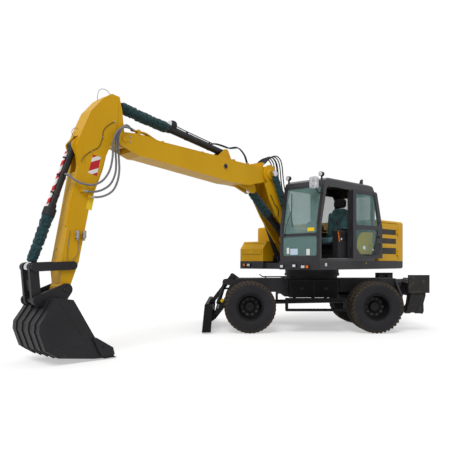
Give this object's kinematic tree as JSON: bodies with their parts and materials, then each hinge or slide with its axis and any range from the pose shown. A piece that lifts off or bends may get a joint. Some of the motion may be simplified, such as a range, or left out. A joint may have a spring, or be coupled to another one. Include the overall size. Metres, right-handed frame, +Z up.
{
  "type": "wheeled excavator",
  "caption": "Wheeled excavator with a two-piece boom, stick and bucket on a slewing upper structure, with cab, dozer blade and stabilisers on twin-tyred axles.",
  "frame": {"origin": "on the ground under the slewing axis", "axes": "+X forward along the boom, +Y to the cab side, +Z up; the undercarriage stands turned 45 degrees below the upper structure"},
  "size_m": [8.9288, 4.9851, 4.051],
  "materials": {
    "yellow_paint": "satin",
    "dark_paint": "satin",
    "black_steel": "worn matt",
    "cab_paint": "satin",
    "chrome_rod": "polished",
    "tyre_rubber": "matt",
    "rim_paint": "worn matt",
    "window_glass": "clear tinted",
    "seat_cloth": "woven",
    "trim_plastic": "matt",
    "engine_iron": "rough",
    "hose_rubber": "matt"
  },
  "bodies": {
    "undercarriage": {"chassis": "dark_paint", "front_axle": "dark_paint", "rear_axle": "dark_paint", "side_steps": "dark_paint", "stabiliser_carrier": "dark_paint"},
    "upper": {"platform": "dark_paint", "boom_bracket": "dark_paint", "counterweight": "yellow_paint", "engine": "engine_iron", "engine_housing": "yellow_paint", "fuel_tank": "yellow_paint", "toolbox": "yellow_paint", "cab_shell": "cab_paint", "cab_glass": "window_glass", "seat": "seat_cloth", "console": "trim_plastic", "lamps": "trim_plastic", "mirror": "trim_plastic"},
    "base_boom": {"base_boom": "yellow_paint", "boom_hoses": "hose_rubber"},
    "upper_boom": {"upper_boom": "yellow_paint", "stick_hoses": "hose_rubber"},
    "stick": {"stick": "yellow_paint"},
    "idlers": {"idler_links": "black_steel"},
    "bucket": {"bucket": "black_steel"},
    "bucket_link": {"bucket_link": "black_steel"},
    "blade": {"blade": "black_steel"},
    "blade_arms": {"blade_arms": "black_steel"},
    "blade_links": {"blade_links": "black_steel"},
    "blade_barrels": {"blade_barrels": "black_steel"},
    "blade_rods": {"blade_rods": "chrome_rod"},
    "engine_hood": {"engine_hood": "yellow_paint"},
    "side_door": {"side_door": "yellow_paint"},
    "toolbox_lid": {"toolbox_lid": "yellow_paint"},
    "cab_door": {"cab_door": "cab_paint", "door_glass": "window_glass"},
    "lift_barrel": {"lift_barrel": "black_steel"},
    "lift_rod": {"lift_rod": "chrome_rod"},
    "adjust_barrel": {"adjust_barrel": "black_steel"},
    "adjust_rod": {"adjust_rod": "chrome_rod"},
    "arm_barrel": {"arm_barrel": "black_steel"},
    "arm_rod": {"arm_rod": "chrome_rod"},
    "bucket_barrel": {"bucket_barrel": "black_steel"},
    "bucket_rod": {"bucket_rod": "chrome_rod"},
    "knuckle_left": {"knuckle_left": "dark_paint"},
    "stabiliser_left": {"stabiliser_left": "black_steel"},
    "stabiliser_barrel_left": {"stabiliser_barrel_left": "black_steel"},
    "stabiliser_rod_left": {"stabiliser_rod_left": "chrome_rod"},
    "wheel_front_left": {"wheel_front_left": "rim_paint", "tyres_front_left": "tyre_rubber"},
    "wheel_rear_left": {"wheel_rear_left": "rim_paint", "tyres_rear_left": "tyre_rubber"},
    "knuckle_right": {"knuckle_right": "dark_paint"},
    "stabiliser_right": {"stabiliser_right": "black_steel"},
    "stabiliser_barrel_right": {"stabiliser_barrel_right": "black_steel"},
    "stabiliser_rod_right": {"stabiliser_rod_right": "chrome_rod"},
    "wheel_front_right": {"wheel_front_right": "rim_paint", "tyres_front_right": "tyre_rubber"},
    "wheel_rear_right": {"wheel_rear_right": "rim_paint", "tyres_rear_right": "tyre_rubber"}
  },
  "joints": [
    {"name": "swing", "type": "hinge", "parent": "undercarriage", "child": "upper", "pos_m": [0, 0, 1.24], "axis": [0, 0, 1], "continuous": true},
    {"name": "steer_left", "type": "hinge", "parent": "undercarriage", "child": "knuckle_left", "pos_m": [1.42128, -0.5869, 0.525], "axis": [0, 0, 1], "range_deg": [-27, 27]},
    {"name": "spin_front_left", "type": "hinge", "parent": "knuckle_left", "child": "wheel_front_left", "pos_m": [1.67301, -0.33517, 0.525], "axis": [0.7071, 0.7071, 0], "continuous": true},
    {"name": "spin_rear_left", "type": "hinge", "parent": "undercarriage", "child": "wheel_rear_left", "pos_m": [-0.13011, 1.46795, 0.525], "axis": [0.7071, 0.7071, 0], "continuous": true},
    {"name": "steer_right", "type": "hinge", "parent": "undercarriage", "child": "knuckle_right", "pos_m": [0.5869, -1.42128, 0.525], "axis": [0, 0, 1], "range_deg": [-27, 27]},
    {"name": "spin_front_right", "type": "hinge", "parent": "knuckle_right", "child": "wheel_front_right", "pos_m": [0.33517, -1.67301, 0.525], "axis": [0.7071, 0.7071, 0], "continuous": true},
    {"name": "spin_rear_right", "type": "hinge", "parent": "undercarriage", "child": "wheel_rear_right", "pos_m": [-1.46795, 0.13011, 0.525], "axis": [0.7071, 0.7071, 0], "continuous": true},
    {"name": "blade_lift", "type": "hinge", "parent": "undercarriage", "child": "blade_arms", "pos_m": [1.23037, -1.23037, 0.8], "axis": [-0.7071, -0.7071, 0], "range_deg": [-5, 38]},
    {"name": "blade_level", "type": "hinge", "parent": "blade_arms", "child": "blade", "pos_m": [1.52735, -1.52735, 0.26], "axis": [-0.7071, -0.7071, 0], "range_deg": [-38.02, 5.02]},
    {"name": "blade_link_swing", "type": "hinge", "parent": "undercarriage", "child": "blade_links", "pos_m": [1.25158, -1.25158, 1.135], "axis": [-0.7071, -0.7071, 0], "range_deg": [-5.02, 38.02]},
    {"name": "blade_barrel_swing", "type": "hinge", "parent": "undercarriage", "child": "blade_barrels", "pos_m": [1.36825, -1.36825, 1], "axis": [-0.7071, -0.7071, 0], "range_deg": [-4.52, 34.22]},
    {"name": "blade_rod_slide", "type": "slide", "parent": "blade_barrels", "child": "blade_rods", "axis": [0.2057, -0.2057, -0.9568], "range_m": [-0.17675, 0.02413]},
    {"name": "stabiliser_left_swing", "type": "hinge", "parent": "undercarriage", "child": "stabiliser_left", "pos_m": [-0.82024, 1.95162, 0.455], "axis": [-0.7071, 0.7071, 0], "range_deg": [0, 90]},
    {"name": "stabiliser_barrel_left_swing", "type": "hinge", "parent": "undercarriage", "child": "stabiliser_barrel_left", "pos_m": [-1.21622, 1.55564, 0.985], "axis": [-0.7071, 0.7071, 0], "range_deg": [-0.02, 33.14]},
    {"name": "stabiliser_rod_left_slide", "type": "slide", "parent": "stabiliser_barrel_left", "child": "stabiliser_rod_left", "axis": [0.7055, 0.7055, -0.0677], "range_m": [-0.001, 0.48512]},
    {"name": "stabiliser_right_swing", "type": "hinge", "parent": "undercarriage", "child": "stabiliser_right", "pos_m": [-1.95162, 0.82024, 0.455], "axis": [0.7071, -0.7071, 0], "range_deg": [0, 90]},
    {"name": "stabiliser_barrel_right_swing", "type": "hinge", "parent": "undercarriage", "child": "stabiliser_barrel_right", "pos_m": [-1.55564, 1.21622, 0.985], "axis": [0.7071, -0.7071, 0], "range_deg": [-0.02, 33.14]},
    {"name": "stabiliser_rod_right_slide", "type": "slide", "parent": "stabiliser_barrel_right", "child": "stabiliser_rod_right", "axis": [-0.7055, -0.7055, -0.0677], "range_m": [-0.001, 0.48512]},
    {"name": "boom_lift", "type": "hinge", "parent": "upper", "child": "base_boom", "pos_m": [0.26, -0.145, 1.81], "axis": [0, -1, 0], "range_deg": [-40, 15]},
    {"name": "boom_fold", "type": "hinge", "parent": "base_boom", "child": "upper_boom", "pos_m": [1.516, -0.145, 3.215], "axis": [0, 1, 0], "range_deg": [-15, 45], "deforming": ["boom_hoses"]},
    {"name": "stick_swing", "type": "hinge", "parent": "upper_boom", "child": "stick", "pos_m": [4.985, -0.145, 3.37], "axis": [0, -1, 0], "range_deg": [-38, 42], "deforming": ["stick_hoses"]},
    {"name": "bucket_tilt", "type": "hinge", "parent": "stick", "child": "bucket", "pos_m": [5.975, -0.145, 1.042], "axis": [0, -1, 0], "range_deg": [-50, 75]},
    {"name": "idler_swing", "type": "hinge", "parent": "stick", "child": "idlers", "pos_m": [5.862, -0.145, 1.389], "axis": [0, -1, 0], "range_deg": [-37.52, 56.27]},
    {"name": "bucket_link_swing", "type": "hinge", "parent": "bucket", "child": "bucket_link", "pos_m": [6.402, -0.145, 0.899], "axis": [0, -1, 0], "range_deg": [-54.77, 36.52]},
    {"name": "lift_barrel_swing", "type": "hinge", "parent": "upper", "child": "lift_barrel", "pos_m": [0.61, -0.145, 1.535], "axis": [0, -1, 0], "range_deg": [-42.42, 15.92]},
    {"name": "lift_rod_slide", "type": "slide", "parent": "lift_barrel", "child": "lift_rod", "axis": [0.4747, 0, 0.8802], "range_m": [-0.29142, 0.10991]},
    {"name": "adjust_barrel_swing", "type": "hinge", "parent": "base_boom", "child": "adjust_barrel", "pos_m": [0.74, -0.145, 1.93], "axis": [0, -1, 0], "range_deg": [-0.77, 2.27]},
    {"name": "adjust_rod_slide", "type": "slide", "parent": "adjust_barrel", "child": "adjust_rod", "axis": [0.7663, 0, 0.6425], "range_m": [-0.36228, 0.12143]},
    {"name": "arm_barrel_swing", "type": "hinge", "parent": "upper_boom", "child": "arm_barrel", "pos_m": [2.64, -0.145, 3.512], "axis": [0, -1, 0], "range_deg": [-1.28, 1.16]},
    {"name": "arm_rod_slide", "type": "slide", "parent": "arm_barrel", "child": "arm_rod", "axis": [0.9841, 0, 0.1777], "range_m": [-0.36752, 0.33261]},
    {"name": "bucket_barrel_swing", "type": "hinge", "parent": "stick", "child": "bucket_barrel", "pos_m": [5.77, -0.145, 3.175], "axis": [0, -1, 0], "range_deg": [-0.52, 0.77]},
    {"name": "bucket_rod_slide", "type": "slide", "parent": "bucket_barrel", "child": "bucket_rod", "axis": [0.3492, 0, -0.9371], "range_m": [-0.49842, 0.33261]},
    {"name": "hood_hinge", "type": "hinge", "parent": "upper", "child": "engine_hood", "pos_m": [-0.682, 0, 2.33], "axis": [0, 1, 0], "range_deg": [0, 55]},
    {"name": "side_door_hinge", "type": "hinge", "parent": "upper", "child": "side_door", "pos_m": [-1.548, 1.27, 1.88], "axis": [0, 0, 1], "range_deg": [0, 90]},
    {"name": "toolbox_lid_hinge", "type": "hinge", "parent": "upper", "child": "toolbox_lid", "pos_m": [0.456, -0.9, 1.868], "axis": [0, -1, 0], "range_deg": [0, 75]},
    {"name": "cab_door_hinge", "type": "hinge", "parent": "upper", "child": "cab_door", "pos_m": [0.42, 1.256, 2.2], "axis": [0, 0, -1], "range_deg": [0, 172]}
  ],
  "couplings": [
    {"joint": "steer_right", "follows": "steer_left", "ratio": 1},
    {"joint": "blade_level", "follows": "blade_lift", "ratio": -1},
    {"joint": "blade_link_swing", "follows": "blade_lift", "ratio": 1},
    {"joint": "blade_barrel_swing", "follows": "blade_lift", "ratio": 0.9},
    {"joint": "blade_rod_slide", "follows": "blade_lift", "m_per_rad": -0.265},
    {"joint": "stabiliser_barrel_left_swing", "follows": "stabiliser_left_swing", "ratio": 0.368},
    {"joint": "stabiliser_rod_left_slide", "follows": "stabiliser_left_swing", "m_per_rad": 0.3082},
    {"joint": "stabiliser_barrel_right_swing", "follows": "stabiliser_right_swing", "ratio": 0.368},
    {"joint": "stabiliser_rod_right_slide", "follows": "stabiliser_right_swing", "m_per_rad": 0.3082},
    {"joint": "idler_swing", "follows": "bucket_tilt", "ratio": 0.75},
    {"joint": "bucket_link_swing", "follows": "bucket_tilt", "ratio": -0.73},
    {"joint": "lift_barrel_swing", "follows": "boom_lift", "ratio": 1.06},
    {"joint": "lift_rod_slide", "follows": "boom_lift", "m_per_rad": 0.416},
    {"joint": "adjust_barrel_swing", "follows": "boom_fold", "ratio": 0.05},
    {"joint": "adjust_rod_slide", "follows": "boom_fold", "m_per_rad": -0.46},
    {"joint": "arm_barrel_swing", "follows": "stick_swing", "ratio": -0.03},
    {"joint": "arm_rod_slide", "follows": "stick_swing", "m_per_rad": -0.5},
    {"joint": "bucket_barrel_swing", "follows": "bucket_tilt", "ratio": 0.01},
    {"joint": "bucket_rod_slide", "follows": "bucket_tilt", "m_per_rad": -0.38}
  ]
}
